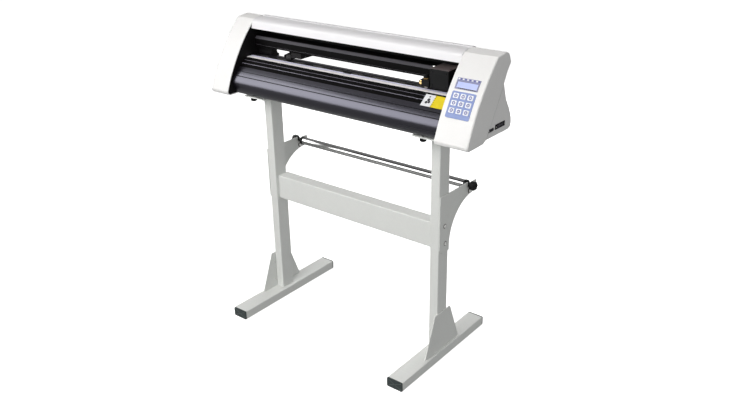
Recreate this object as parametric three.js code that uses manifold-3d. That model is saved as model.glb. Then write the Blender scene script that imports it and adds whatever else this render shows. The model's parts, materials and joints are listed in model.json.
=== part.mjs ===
// A floor-standing vinyl cutter: a cutting head on a two-post steel stand.
// Millimetres, +Z up, the front faces -Y, and the origin is on the floor under the middle.

import * as THREE from 'three';
import { mergeVertices } from 'three/addons/utils/BufferGeometryUtils.js';
import Module from 'manifold-3d';

const wasm = await Module();
wasm.setup();

// ---------------------------------------------------------------- driving dimensions

const GAP = 0.3; // clearance between touching pieces

// Stand
const STAND_X = -10.5; // middle of the stand; the right housing of the head is the longer one
const POST_SPACING = 640;
const POST = { width: 30, depth: 50, wall: 2, y: -3.5 };
const FOOT = { width: 54, height: 30, length: 443, wall: 2 };
const FOOT_CAP = 4;
const PLATE = 3; // sheet thickness of gussets, brackets and side plates
const GUSSET = { top: 80, bottom: 180, height: 129 };
const BEAM = { low: 366, high: 447, front: -16, back: 27, wall: 2 };
const TOP_PLATE = { low: 720.7, thick: 4, width: 84, front: -83, back: 62 };
const MOUNT_SCREW = { offset: -10, y: [-75, 34], radius: 9.5, height: 9.3 }; // offset from its post
const ROLLER = { y: 122, z: 525, radius: 12.5, wall: 1.5 };

// Head
const LEFT_END = -471.5;
const RIGHT_END = 471.5;
const LEFT_INNER = -396.5; // inner face of the left housing
const RIGHT_INNER = 370.5; // inner face of the right housing
const COVER_WALL = 3;
const EDGE = 4; // rounding of the outer rim of the housings
const FRONT_ARC = { y: 390, z: 546, radius: 555.7 }; // the bulging front of both housings
const SEAM = { topY: 41, topZ: 872, bottomY: -41, bottomZ: 737 };

const PLATEN_TOP = 835;
const PLATEN_BOTTOM = 725;
const NOSE = { y: -66, z: 765, radius: 40 };
const STRIP = { front: -40, back: -14, recess: 1.5 };
const GRIT = { y: 4, radius: 11, journal: 5 };
const GRIT_Z = PLATEN_TOP + 0.5 - GRIT.radius;
const RAIL = { front: 0, back: 46, low: 862.5, high: 893 };
const RAIL_BRACKET = { front: 18, foot: 46.3, back: 39, end: -345 };
const PINCH_X = { left: -253, right: 250 };
const PINCH = { radius: 8, width: 20, pivotY: 30, pivotZ: 848 };
const PINCH_Z = GRIT_Z + GRIT.radius + GAP + PINCH.radius;
const CARRIAGE = { left: 288.5, width: 59, front: -32, back: -12, low: 845.5, high: 897.5 };
const TOOL = { x: 273, y: -25, radius: 5.5, tip: 839.5 };
const PULLEY = { x: 421, idlerX: -418, y: 13, radius: 8 };

// Control panel, on the front of the right housing
const PANEL_X = 419.3;
const KEYPAD = { width: 70, height: 70, corner: 4 };
const DISPLAY = { width: 67.5, height: 30.5 };
const KEY = { width: 15.5, height: 13.5, pitchX: 21.3, pitchY: 19.4 };

// ---------------------------------------------------------------- solids

function solid(geometry) {
  const bare = geometry.clone();
  bare.deleteAttribute('normal');
  bare.deleteAttribute('uv');
  const merged = mergeVertices(bare, 1e-4);
  return new wasm.Manifold(new wasm.Mesh({
    numProp: 3,
    vertProperties: merged.attributes.position.array,
    triVerts: new Uint32Array(merged.index.array),
  }));
}

function shell(body) {
  const mesh = body.getMesh();
  const geometry = new THREE.BufferGeometry();
  geometry.setAttribute('position', new THREE.BufferAttribute(mesh.vertProperties, 3));
  geometry.setIndex(new THREE.BufferAttribute(mesh.triVerts, 1));
  return geometry;
}

function cut(base, ...tools) {
  return shell(tools.reduce((body, tool) => body.subtract(solid(tool)), solid(base)));
}

function join(base, ...others) {
  return shell(others.reduce((body, other) => body.add(solid(other)), solid(base)));
}

function clip(base, tool) {
  return shell(solid(base).intersect(solid(tool)));
}

function box(x0, x1, y0, y1, z0, z1) {
  const geometry = new THREE.BoxGeometry(x1 - x0, y1 - y0, z1 - z0);
  return geometry.translate((x0 + x1) / 2, (y0 + y1) / 2, (z0 + z1) / 2);
}

function outline(points) {
  return new THREE.Shape(points.map(([a, b]) => new THREE.Vector2(a, b)));
}

const Y_Z_TO_X = new THREE.Matrix4().makeBasis(
  new THREE.Vector3(0, 1, 0), new THREE.Vector3(0, 0, 1), new THREE.Vector3(1, 0, 0));

// A shape drawn in the Y-Z plane, extruded from x0 to x1; rim rounds the outline at both ends.
function alongX(shape, x0, x1, rim = 0) {
  const geometry = new THREE.ExtrudeGeometry(shape, {
    depth: x1 - x0 - 2 * rim,
    curveSegments: 10,
    bevelEnabled: rim > 0,
    bevelThickness: rim,
    bevelSize: rim,
    bevelOffset: -rim,
    bevelSegments: 3,
  });
  return geometry.applyMatrix4(Y_Z_TO_X).translate(x0 + rim, 0, 0);
}

// A shape drawn in the X-Y plane, extruded from z0 to z1.
function alongZ(shape, z0, z1) {
  const geometry = new THREE.ExtrudeGeometry(shape, {
    depth: z1 - z0, curveSegments: 2, bevelEnabled: false });
  return geometry.translate(0, 0, z0);
}

// A shape drawn in the X-Z plane, extruded from y0 to y1.
function alongY(shape, y0, y1) {
  return alongZ(shape, 0, y1 - y0).rotateX(Math.PI / 2).translate(0, y1, 0);
}

// A turned piece about X: each step is [radius, x]; it starts and ends on the axis.
function turnedX(steps, y, z, sides = 24) {
  const points = steps.map(([radius, x]) => new THREE.Vector2(radius, x));
  const closed = [new THREE.Vector2(0, points[0].y), ...points, new THREE.Vector2(0, points.at(-1).y)];
  return new THREE.LatheGeometry(closed, sides).rotateZ(-Math.PI / 2).translate(0, y, z);
}

// A turned piece about Z: each step is [radius, z].
function turnedZ(steps, x, y, sides = 24) {
  const points = steps.map(([radius, z]) => new THREE.Vector2(radius, z));
  const closed = [new THREE.Vector2(0, points[0].y), ...points, new THREE.Vector2(0, points.at(-1).y)];
  return new THREE.LatheGeometry(closed, sides).rotateX(Math.PI / 2).translate(x, y, 0);
}

function rodX(radius, x0, x1, y, z, sides = 24) {
  return turnedX([[radius, x0], [radius, x1]], y, z, sides);
}

function rectangle(a0, a1, b0, b1) {
  return outline([[a0, b0], [a1, b0], [a1, b1], [a0, b1]]);
}

function tubeSection(a0, a1, b0, b1, wall) {
  const section = rectangle(a0, a1, b0, b1);
  section.holes.push(rectangle(a0 + wall, a1 - wall, b0 + wall, b1 - wall));
  return section;
}

function roundedRectangle(width, height, radius) {
  const shape = new THREE.Shape();
  const [x, y] = [width / 2, height / 2];
  shape.absarc(x - radius, y - radius, radius, 0, Math.PI / 2);
  shape.absarc(-x + radius, y - radius, radius, Math.PI / 2, Math.PI);
  shape.absarc(-x + radius, -y + radius, radius, Math.PI, 1.5 * Math.PI);
  shape.absarc(x - radius, -y + radius, radius, 1.5 * Math.PI, 2 * Math.PI);
  return shape;
}

// ---------------------------------------------------------------- materials

const finish = (color, roughness, metalness) => () =>
  new THREE.MeshStandardMaterial({ color, roughness, metalness });
const greyPaint = finish(0xd0d3ce, 0.55, 0.1);
const blackPaint = finish(0x17171a, 0.45, 0.2);
const blackAnodised = finish(0x1c1b20, 0.35, 0.7);
const whitePlastic = finish(0xefefee, 0.45, 0);
const whitePaint = finish(0xf3f2f4, 0.35, 0.1);
const darkPlastic = finish(0x25282a, 0.6, 0);
const capPlastic = finish(0x2d3c3c, 0.7, 0);
const chrome = finish(0xd8dadc, 0.15, 1);
const steel = finish(0xa4a7aa, 0.4, 0.9);
const brass = finish(0xc79a4a, 0.3, 0.9);
const rubber = finish(0x242424, 0.9, 0);
const stripPlastic = finish(0xd9d8e4, 0.5, 0);
const bluePanel = finish(0x6e82be, 0.5, 0);
const keyWhite = finish(0xf4f4f8, 0.5, 0);
const circuitBoard = finish(0x1f5a3c, 0.6, 0);

const machine = new THREE.Group();

function part(name, geometry, material, parent = machine) {
  const mesh = new THREE.Mesh(geometry, material());
  mesh.name = name;
  parent.add(mesh);
  return mesh;
}

// ---------------------------------------------------------------- stand

const SIDES = [['left', -1], ['right', 1]];
const ENDS = [['front', -1], ['rear', 1]];
const postX = (side) => STAND_X + side * POST_SPACING / 2;

// A sheet of the stand's plate lying against the outer face of a post
function sheetAt(side, shape) {
  const near = postX(side) + side * (POST.width / 2 + GAP);
  const far = near + side * PLATE;
  return alongX(shape, Math.min(near, far), Math.max(near, far));
}

// Each foot is a tube with a gusset welded along its top; the post is bolted to the gusset.
function feet() {
  const half = FOOT.length / 2 - FOOT_CAP;
  const plug = 12;
  for (const [side, sign] of SIDES) {
    const x = postX(sign);
    const section = tubeSection(x - FOOT.width / 2, x + FOOT.width / 2, 0, FOOT.height, FOOT.wall);
    const weld = FOOT.height - FOOT.wall / 2;
    const gusset = outline([
      [POST.y - GUSSET.bottom / 2, weld], [POST.y + GUSSET.bottom / 2, weld],
      [POST.y + GUSSET.top / 2, FOOT.height + GUSSET.height],
      [POST.y - GUSSET.top / 2, FOOT.height + GUSSET.height]]);
    part(`${side}_foot`, join(alongY(section, -half, half), sheetAt(sign, gusset)), greyPaint);
    for (const [end, way] of ENDS) {
      const outer = way * (half + FOOT_CAP);
      const face = way * (half + GAP);
      const inner = way * (half - plug);
      const fit = FOOT.wall + GAP;
      const lid = box(x - FOOT.width / 2, x + FOOT.width / 2,
        Math.min(outer, face), Math.max(outer, face), 0, FOOT.height);
      const stub = box(x - FOOT.width / 2 + fit, x + FOOT.width / 2 - fit,
        Math.min(inner, face + way), Math.max(inner, face + way), fit, FOOT.height - fit);
      part(`${side}_${end}_foot_cap`, join(lid, stub), capPlastic);
    }
  }
}

function posts() {
  const top = TOP_PLATE.low - GAP;
  const [front, back] = [POST.y - POST.depth / 2, POST.y + POST.depth / 2];
  for (const [side, sign] of SIDES) {
    const x = postX(sign);
    const section = tubeSection(x - POST.width / 2, x + POST.width / 2, front, back, POST.wall);
    part(`${side}_post`, alongZ(section, FOOT.height + GAP, top), greyPaint);
  }
  const span = POST_SPACING / 2 - POST.width / 2 - GAP;
  const section = tubeSection(BEAM.front, BEAM.back, BEAM.low, BEAM.high, BEAM.wall);
  part('cross_beam', alongX(section, STAND_X - span, STAND_X + span), greyPaint);
}

// The wing that carries the media roller: a sheet against the post, reaching back to a notch
function rollBracketShape() {
  const front = POST.y - POST.depth / 2;
  const back = POST.y + POST.depth / 2;
  const top = 536;
  const sweep = { y: 150, z: 369, radius: 129 };
  const notch = 7;
  const shape = new THREE.Shape();
  shape.moveTo(front, top);
  shape.lineTo(front, 372);
  shape.lineTo(front + 14, 356);
  shape.lineTo(back, 356);
  shape.absarc(sweep.y, sweep.z, sweep.radius, Math.PI, Math.PI / 2, true);
  shape.lineTo(168, 502);
  shape.lineTo(160, 531);
  shape.lineTo(ROLLER.y + notch + 4, 531);
  shape.lineTo(ROLLER.y + notch, ROLLER.z);
  shape.absarc(ROLLER.y, ROLLER.z, notch, 0, Math.PI, true);
  shape.lineTo(ROLLER.y - notch, top);
  return shape;
}

function mediaRoller() {
  for (const [side, sign] of SIDES) {
    part(`${side}_roll_bracket`, sheetAt(sign, rollBracketShape()), greyPaint);
  }
  const reach = POST_SPACING / 2 - 8;
  const bore = ROLLER.radius - ROLLER.wall;
  const tube = new THREE.Shape().absarc(0, 0, ROLLER.radius, 0, 2 * Math.PI);
  tube.holes.push(new THREE.Path().absarc(0, 0, bore, 0, 2 * Math.PI));
  const roller = new THREE.ExtrudeGeometry(tube, {
    depth: 2 * reach, curveSegments: 24, bevelEnabled: false });
  roller.applyMatrix4(Y_Z_TO_X).translate(STAND_X - reach, ROLLER.y, ROLLER.z);
  part('media_roller', roller, chrome);

  // Each hub: a plug in the tube, a collar, the journal in the notch and an end knob outside it
  const plate = POST_SPACING / 2 + POST.width / 2;
  const plug = bore - GAP;
  const hub = [
    [plug, reach - 14], [plug, reach + GAP], [14, reach + GAP], [14, reach + 9], [8, reach + 12],
    [6, plate - 1], [6, plate + PLATE + 2], [11, plate + PLATE + 3], [11, plate + PLATE + 12],
    [8, plate + PLATE + 14]];
  for (const [side, sign] of SIDES) {
    const turned = turnedX(hub, 0, 0);
    if (sign < 0) turned.rotateZ(Math.PI);
    part(`${side}_roller_hub`, turned.translate(STAND_X, ROLLER.y, ROLLER.z), darkPlastic);
  }
}

function headMounting() {
  const top = TOP_PLATE.low + TOP_PLATE.thick;
  for (const [side, sign] of SIDES) {
    const x = postX(sign);
    const sheet = box(x - TOP_PLATE.width / 2, x + TOP_PLATE.width / 2,
      TOP_PLATE.front, TOP_PLATE.back, TOP_PLATE.low, top);
    const screwX = x + MOUNT_SCREW.offset;
    const holes = MOUNT_SCREW.y.map((y) => turnedZ(
      [[3.4, TOP_PLATE.low - 1], [3.4, top + 1]], screwX, y, 16));
    part(`${side}_top_plate`, cut(sheet, ...holes), greyPaint);

    ENDS.forEach(([end], i) => {
      const low = TOP_PLATE.low - GAP;
      const { radius, height } = MOUNT_SCREW;
      const steps = [
        [radius - 1.5, low - height], [radius, low - height + 1.5], [radius, low - 2], [8, low],
        [3, low], [3, top + 10]];
      part(`${side}_${end}_thumb_screw`, turnedZ(steps, screwX, MOUNT_SCREW.y[i], 20), darkPlastic);
    });
  }
}

// ---------------------------------------------------------------- bed of the head

const PLATEN_X0 = LEFT_INNER;
const PLATEN_X1 = RIGHT_INNER;

// The platen is one hollow extrusion: flat bed, sloping apron, round nose, and a trough for the
// grit roller. Its outline runs anticlockwise in the Y-Z plane.
function platenShape() {
  const bed = PLATEN_TOP;
  const slope = Math.atan2(34.5, 47);
  const shape = new THREE.Shape();
  const trough = GRIT.radius + 2.5;
  const seat = bed - STRIP.recess;
  shape.moveTo(28, bed);
  shape.lineTo(GRIT.y + trough - 2, bed);
  shape.lineTo(GRIT.y + trough - 2, bed - 3);
  shape.lineTo(GRIT.y + trough, bed - 3);
  shape.lineTo(GRIT.y + trough, GRIT_Z);
  shape.absarc(GRIT.y, GRIT_Z, trough, 0, Math.PI, true);
  shape.lineTo(GRIT.y - trough, bed - 3);
  shape.lineTo(GRIT.y - trough + 2, bed - 3);
  shape.lineTo(GRIT.y - trough + 2, bed);
  shape.lineTo(STRIP.back + GAP, bed);
  shape.lineTo(STRIP.back + GAP, seat);
  shape.lineTo(STRIP.front - GAP, seat);
  shape.lineTo(STRIP.front - GAP, bed);
  shape.absarc(NOSE.y, NOSE.z, NOSE.radius, Math.PI / 2 + slope, 1.5 * Math.PI, false);
  shape.lineTo(44, PLATEN_BOTTOM);
  shape.lineTo(52, PLATEN_BOTTOM + 8);
  shape.lineTo(52, bed - 26);
  return shape;
}

function hollowPath() {
  const wall = 3;
  const path = new THREE.Path();
  const low = GRIT_Z - GRIT.radius - 6;
  path.moveTo(NOSE.y, PLATEN_BOTTOM + wall);
  path.lineTo(42, PLATEN_BOTTOM + wall);
  path.lineTo(49, PLATEN_BOTTOM + wall + 6);
  path.lineTo(49, low - 3);
  path.lineTo(GRIT.y + 8, low - 3);
  path.lineTo(GRIT.y - 8, low - 3);
  path.lineTo(GRIT.y - GRIT.radius - 6, GRIT_Z + 4);
  path.lineTo(STRIP.front + 2, PLATEN_TOP - STRIP.recess - wall);
  path.absarc(NOSE.y, NOSE.z, NOSE.radius - wall, Math.PI * 0.7, 1.5 * Math.PI, false);
  return path;
}

function bed() {
  const shape = platenShape();
  shape.holes.push(hollowPath());
  const platen = alongX(shape, PLATEN_X0, PLATEN_X1);
  const bores = SIDES.flatMap(([, sign]) => MOUNT_SCREW.y.map((y) => turnedZ(
    [[3.3, PLATEN_BOTTOM - 1], [3.3, PLATEN_BOTTOM + 14]], postX(sign) + MOUNT_SCREW.offset, y, 16)));
  part('platen', cut(platen, ...bores), blackAnodised);
  const seat = PLATEN_TOP - STRIP.recess + GAP;
  part('cutting_strip', box(PLATEN_X0, PLATEN_X1, STRIP.front, STRIP.back, seat, PLATEN_TOP + 0.5),
    stripPlastic);
}

// The grit roller: a long shaft with a gear on its right-hand end, inside the right housing
function gearShape(teeth, root, tip) {
  const points = [];
  const pitch = 2 * Math.PI / teeth;
  const profile = [[root, 0], [root, 0.3], [tip, 0.42], [tip, 0.68], [root, 0.8]];
  for (let i = 0; i < teeth; i += 1) {
    for (const [radius, share] of profile) {
      const angle = (i + share) * pitch;
      points.push([radius * Math.cos(angle), radius * Math.sin(angle)]);
    }
  }
  return outline(points);
}

const GEAR = { teeth: 36, pinionTeeth: 12, module: 1, x: RIGHT_INNER + 12, width: 8 };

function gear(teeth, x0, x1, phase) {
  const radius = GEAR.module * teeth / 2;
  const shape = gearShape(teeth, radius - 1.1, radius + 0.8);
  return new THREE.ExtrudeGeometry(shape, { depth: x1 - x0, bevelEnabled: false })
    .rotateZ(phase).applyMatrix4(Y_Z_TO_X).translate(x0, 0, 0);
}

function gritRoller() {
  const reach = GAP + 0.7;
  const shaft = turnedX([
    [GRIT.journal, LEFT_INNER - 8], [GRIT.journal, PLATEN_X0 + reach],
    [GRIT.radius, PLATEN_X0 + reach], [GRIT.radius, PLATEN_X1 - reach],
    [GRIT.journal, PLATEN_X1 - reach], [GRIT.journal, GEAR.x + GEAR.width + 3]], 0, 0, 32);
  const wheel = gear(GEAR.teeth, GEAR.x, GEAR.x + GEAR.width, 0);
  part('grit_roller', join(shaft, wheel), steel).position.set(0, GRIT.y, GRIT_Z);
}

// ---------------------------------------------------------------- rail, carriage and tool

function railShape() {
  const shape = new THREE.Shape();
  const chamfer = 9;
  shape.moveTo(RAIL.front, RAIL.low);
  shape.lineTo(RAIL.back, RAIL.low);
  shape.lineTo(RAIL.back, RAIL.high);
  shape.lineTo(RAIL.front + chamfer, RAIL.high);
  shape.lineTo(RAIL.front, RAIL.high - chamfer + 1);
  shape.lineTo(RAIL.front, RAIL.low + 7);
  shape.lineTo(RAIL.front + 1.2, RAIL.low + 6);
  shape.lineTo(RAIL.front + 1.2, RAIL.low + 5);
  shape.lineTo(RAIL.front, RAIL.low + 4);
  shape.holes.push(outline([
    [RAIL.front + 4, RAIL.low + 3], [RAIL.back - 3, RAIL.low + 3], [RAIL.back - 3, RAIL.high - 3],
    [RAIL.front + chamfer + 1, RAIL.high - 3], [RAIL.front + 4, RAIL.high - chamfer]]));
  return shape;
}

function rail() {
  part('rail_beam', alongX(railShape(), PLATEN_X0, PLATEN_X1), blackPaint);
}

// The carriage: a box in front of the rail with a plate reaching back over the rail's top
function carriage() {
  const { left, width, front, back, low, high } = CARRIAGE;
  const right = left + width;
  const reach = 30; // how far back the plate goes over the rail
  const body = box(left, right, front, back, low, high);
  const neck = box(left, right, back - 1, RAIL.front - GAP, RAIL.low + 8, high);
  const overRail = box(left, right, RAIL.front - 2, reach, RAIL.high + GAP, high);
  part('carriage', join(body, neck, overRail), darkPlastic);
}

// The tool: a clamp block beside the carriage, with the blade holder in it and its brass screw
function tool() {
  const clamp = { width: 24, front: -35, back: -15, low: 847, high: 865, screwZ: 854, screwBore: 2.3 };
  const right = CARRIAGE.left - GAP;
  const left = right - clamp.width;
  const bore = turnedZ([[TOOL.radius + GAP, clamp.low - 1], [TOOL.radius + GAP, clamp.high + 1]],
    TOOL.x, TOOL.y);
  const screwBore = rodX(clamp.screwBore, left - 1, TOOL.x, TOOL.y, clamp.screwZ, 12);
  const block = box(left, right, clamp.front, clamp.back, clamp.low, clamp.high);
  part('tool_clamp', cut(block, bore, screwBore), darkPlastic);

  // Blade tip, ferrule, body and knurled head
  const { tip, radius } = TOOL;
  const [ferrule, head] = [3.8, 6.6];
  part('blade_holder', turnedZ([
    [0.6, tip], [2.2, tip + 1.4], [ferrule, tip + 2], [ferrule, tip + 5],
    [radius, tip + 6], [radius, clamp.high + 3], [head, clamp.high + 3.4], [head, clamp.high + 12],
    [head - 1.4, clamp.high + 13.5]], TOOL.x, TOOL.y), brass);

  const knob = 6;
  const thread = clamp.screwBore - GAP;
  part('clamp_screw', turnedX([
    [knob - 0.8, left - 10], [knob, left - 9], [knob, left - 2.5], [knob - 0.8, left - 1.5],
    [thread, left - 1.5], [thread, TOOL.x - radius - 2 * GAP]], TOOL.y, clamp.screwZ), brass);
}

// A pinch assembly: a carrier under the rail with a shoe beside the wheel, an arm that lifts on it,
// and a rubber wheel
function pinchRollers() {
  const top = RAIL.low - GAP;
  const low = top - 5.7;
  const pin = 3;
  const axle = 2;
  const sheet = 4; // thickness of the lugs and cheeks
  const half = PINCH.width / 2;
  const cheekX = half + 0.5;
  const lugX = cheekX + sheet + 1;
  const shoe = { low: 847, front: -5, back: 50, end: 56 }; // its end is measured from the wheel
  const { pivotY, pivotZ } = PINCH;
  const lug = outline([
    [pivotY - 7, low + 0.5], [pivotY - 6, pivotZ - 6], [pivotY + 6, pivotZ - 6],
    [pivotY + 12, low + 0.5]]);
  const cheek = outline([
    [-5, 840], [10, 840], [pivotY + 4, pivotZ - 3.5], [pivotY + 4, pivotZ + 3.5], [14, 853.5],
    [-5, 851]]);
  for (const [side] of SIDES) {
    const x = PINCH_X[side];
    const edge = lugX + sheet;
    const beam = box(x - edge, x + shoe.end, 18, RAIL.back, low, top);
    const block = box(x + lugX, x + shoe.end, shoe.front, shoe.back, shoe.low, top);
    const lugs = [-edge, lugX].map((dx) => alongX(lug, x + dx, x + dx + sheet));
    const bore = rodX(pin + GAP, x - edge - 1, x + edge + 1, pivotY, pivotZ, 16);
    part(`${side}_pinch_carrier`, cut(join(beam, block, ...lugs), bore), blackPaint);

    // Cheeks beside the wheel, a web behind it, and trunnions in the carrier's lugs
    const cheeks = [-cheekX - sheet, cheekX].map((dx) => alongX(cheek, x + dx, x + dx + sheet));
    const web = box(x - cheekX - 1, x + cheekX + 1, 14, pivotY + 4, pivotZ - 3.5, pivotZ + 3.5);
    const reach = edge - 0.5;
    const trunnion = rodX(pin, x - reach, x + reach, pivotY, pivotZ, 16);
    const axleBore = rodX(axle + GAP, x - lugX, x + lugX, GRIT.y, PINCH_Z, 12);
    part(`${side}_pinch_arm`, cut(join(web, ...cheeks, trunnion), axleBore), blackPaint);

    const end = half + sheet;
    const wheel = turnedX([
      [axle, -end], [axle, -half], [PINCH.radius - 1, -half], [PINCH.radius, -half + 1],
      [PINCH.radius, half - 1], [PINCH.radius - 1, half], [axle, half], [axle, end]],
    GRIT.y, PINCH_Z);
    part(`${side}_pinch_wheel`, wheel.translate(x, 0, 0), rubber);
  }
}

// ---------------------------------------------------------------- housings

const frontY = (z) => FRONT_ARC.y - Math.sqrt(FRONT_ARC.radius ** 2 - (z - FRONT_ARC.z) ** 2);

// The side view of a housing, as three runs of points: the bulging front and the bottom up to the
// seam, the belly behind the seam, and the round back of the top.
function frontRun(steps = 9) {
  const [topZ, lowZ] = [945.5, 742];
  const points = [];
  for (let i = 0; i <= steps; i += 1) {
    const z = topZ + (lowZ - topZ) * i / steps;
    points.push([frontY(z), z]);
  }
  return [...points, [-128.5, 734], [-121, 729.5], [-54, 730.5], [SEAM.bottomY, SEAM.bottomZ]];
}
const BELLY_RUN = [[76, 736], [85.5, 740.5], [90.5, 751], [89, 768], [76, 797], [58, 825]];
const BACK_RUN = [
  [SEAM.topY, SEAM.topZ], [55, 898], [67.5, 914], [70.5, 918], [71, 922], [63, 939.5], [60.2, 943.5],
  [56, 946.8], [50, 949.3], [43, 951]];

const frontShell = () => outline([...frontRun(), ...BACK_RUN]);
const rearShell = () => outline([
  [SEAM.bottomY + 1.35, SEAM.bottomZ], ...BELLY_RUN, [SEAM.topY + 0.35, SEAM.topZ - 1]]);
const wholeHousing = (inset) => outline(insetBy([...frontRun(), ...BELLY_RUN, ...BACK_RUN], inset));

// Moves every edge of a closed outline inwards by the same distance.
function insetBy(points, distance) {
  if (distance === 0) return points;
  const area = THREE.ShapeUtils.area(points.map(([x, y]) => ({ x, y })));
  const turn = Math.sign(area);
  return points.map((point, i) => {
    const before = points.at(i - 1);
    const after = points[(i + 1) % points.length];
    const [ux, uy] = unit(point[0] - before[0], point[1] - before[1]);
    const [vx, vy] = unit(after[0] - point[0], after[1] - point[1]);
    const [nx, ny] = [-(uy + vy) * turn, (ux + vx) * turn];
    const scale = distance / (0.5 * (nx * nx + ny * ny)) || 0;
    return [point[0] + nx * scale, point[1] + ny * scale];
  });
}

function unit(x, y) {
  const length = Math.hypot(x, y);
  return [x / length, y / length];
}

// A shell of one housing, open towards the other shell and towards the middle of the machine
function housingShell(shape, sign, inner, outer) {
  const beyond = 40;
  const [x0, x1] = sign < 0 ? [outer, inner + beyond] : [inner - beyond, outer];
  const [c0, c1] = sign < 0 ? [x0 + COVER_WALL, x1] : [x0, x1 - COVER_WALL];
  const [k0, k1] = sign < 0 ? [x0 - 1, inner] : [inner, x1 + 1];
  const hollow = alongX(wholeHousing(COVER_WALL), c0, c1);
  return clip(cut(alongX(shape, x0, x1, EDGE), hollow), box(k0, k1, -200, 200, 600, 1000));
}

// The control panel lies in a plane square to the arc of the housing's front.
const PANEL_CENTRE = { y: -85.6, z: 832.8 };
const DISPLAY_CENTRE = { y: -54.2, z: 880 };
const tiltAt = ({ y, z }) => {
  const [outY, outZ] = unit(y - FRONT_ARC.y, z - FRONT_ARC.z);
  return Math.atan2(-outY, outZ);
};

function placeOnFront(geometry, centre) {
  return geometry.rotateX(tiltAt(centre)).translate(PANEL_X, centre.y, centre.z);
}

function plate(width, height, radius, low, high) {
  return alongZ(roundedRectangle(width, height, radius), low, high);
}

function controlPanelCuts() {
  const pocket = plate(KEYPAD.width + 2 * GAP, KEYPAD.height + 2 * GAP, KEYPAD.corner, -1.9, 9);
  const keyWell = plate(KEYPAD.width - 5, KEYPAD.height - 5, 2, -12, 9);
  const window = plate(DISPLAY.width + 2 * GAP, DISPLAY.height + 2 * GAP, 1.5, -14, 9);
  return [placeOnFront(pocket, PANEL_CENTRE), placeOnFront(keyWell, PANEL_CENTRE),
    placeOnFront(window, DISPLAY_CENTRE)];
}

const PORTS = [
  { y: 29, z: 761.5, width: 50, height: 13 },
  { y: -17, z: 758, width: 22, height: 8 }];
// Mains inlet with its switch beside it, one module in the back of the right housing
const INLET = { x0: 408, x1: 461, z: 757, height: 25, face: 91.5, depth: 26 };
const SOCKET = { x: 422, width: 23, height: 16, depth: 15 };
const ROCKER = { x: 448, width: 14, height: 19, depth: 8, travel: 1.2 };

// A bracket on the left side plate, under the end of the rail; its back leans forward.
function railBracket(x0) {
  const [low, high] = [PLATEN_TOP + 1, RAIL.low - GAP];
  const { front, foot, back, end } = RAIL_BRACKET;
  return alongX(outline([[front, low], [foot, low], [back, high], [front, high]]), x0 + 1, end);
}

function housings() {
  const outerOf = { left: LEFT_END, right: RIGHT_END };
  const innerOf = { left: LEFT_INNER - GAP, right: RIGHT_INNER + GAP };
  for (const [side, sign] of SIDES) {
    const inner = innerOf[side];
    const outer = outerOf[side];
    let front = housingShell(frontShell(), sign, inner, outer);
    let rear = housingShell(rearShell(), sign, inner, outer - sign * 1.5);
    if (side === 'right') {
      front = cut(front, ...controlPanelCuts());
      const ports = PORTS.map((p) => box(RIGHT_END - 10, RIGHT_END + 1, p.y - p.width / 2,
        p.y + p.width / 2, p.z - p.height / 2, p.z + p.height / 2));
      const half = INLET.height / 2 + GAP;
      const inlet = box(INLET.x0 - GAP, INLET.x1 + GAP, 60, 100, INLET.z - half, INLET.z + half);
      rear = cut(rear, ...ports, inlet);
    }
    part(`${side}_cover`, front, whitePlastic);
    part(`${side}_rear_cover`, rear, whitePlastic);

    const x0 = side === 'left' ? LEFT_INNER - GAP - PLATE : RIGHT_INNER + GAP;
    const sheet = alongX(wholeHousing(COVER_WALL + GAP), x0, x0 + PLATE);
    const bore = rodX(GRIT.journal + GAP, x0 - 1, x0 + PLATE + 1, GRIT.y, GRIT_Z, 20);
    const bored = cut(sheet, bore);
    part(`${side}_side_plate`, side === 'left' ? join(bored, railBracket(x0)) : bored, blackPaint);
  }
}

// The long cover over the rail: an open-bottomed channel with a rib along its back
function topCover() {
  const wall = 2.5;
  const outer = [[-10, 918], [-6.5, 936], [-3.5, 941], [3, 945.5], [13, 948.5], [39, 949], [41, 947.5],
    [43, 949.3], [46, 951], [54, 951], [60, 948.5], [64, 943], [66, 934], [66, 872]];
  const inner = [[66 - wall, 872], [66 - wall, 934], [60, 943.5], [54, 948.5], [47, 948.4], [41, 944.8],
    [14, 945.8], [4.5, 943], [-1.4, 939], [-4, 935], [-7.4, 918]];
  part('top_cover', alongX(outline([...outer, ...inner]), PLATEN_X0, PLATEN_X1), whitePaint);
}

// ---------------------------------------------------------------- control panel

function controlPanel() {
  const columns = [-1, 0, 1];
  const keyArea = 4; // the keys sit above the middle of the keypad
  let keypad = plate(KEYPAD.width, KEYPAD.height, KEYPAD.corner, -1.6, 0.4);
  const wells = [];
  const spots = [];
  for (const row of [1, 0, -1]) {
    for (const column of columns) {
      const [x, y] = [column * KEY.pitchX, row * KEY.pitchY + keyArea];
      spots.push([x, y]);
      wells.push(plate(KEY.width + 2 * GAP, KEY.height + 2 * GAP, 1.8, -4, 4).translate(x, y, 0));
    }
  }
  keypad = cut(keypad, ...wells);
  part('keypad_panel', placeOnFront(keypad, PANEL_CENTRE), bluePanel);
  spots.forEach(([x, y], i) => {
    const key = plate(KEY.width, KEY.height, 1.6, -2.2, 1.2).translate(x, y, 0);
    part(`key_${i + 1}`, placeOnFront(key, PANEL_CENTRE), keyWhite);
  });

  const frame = plate(DISPLAY.width, DISPLAY.height, 1.2, -9, 0.6);
  const window = plate(DISPLAY.width - 8, DISPLAY.height - 11, 0.8, -0.6, 2).translate(0, -2, 0);
  part('display_module', placeOnFront(cut(frame, window), DISPLAY_CENTRE), bluePanel);
}

// ---------------------------------------------------------------- drives and electronics

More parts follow.
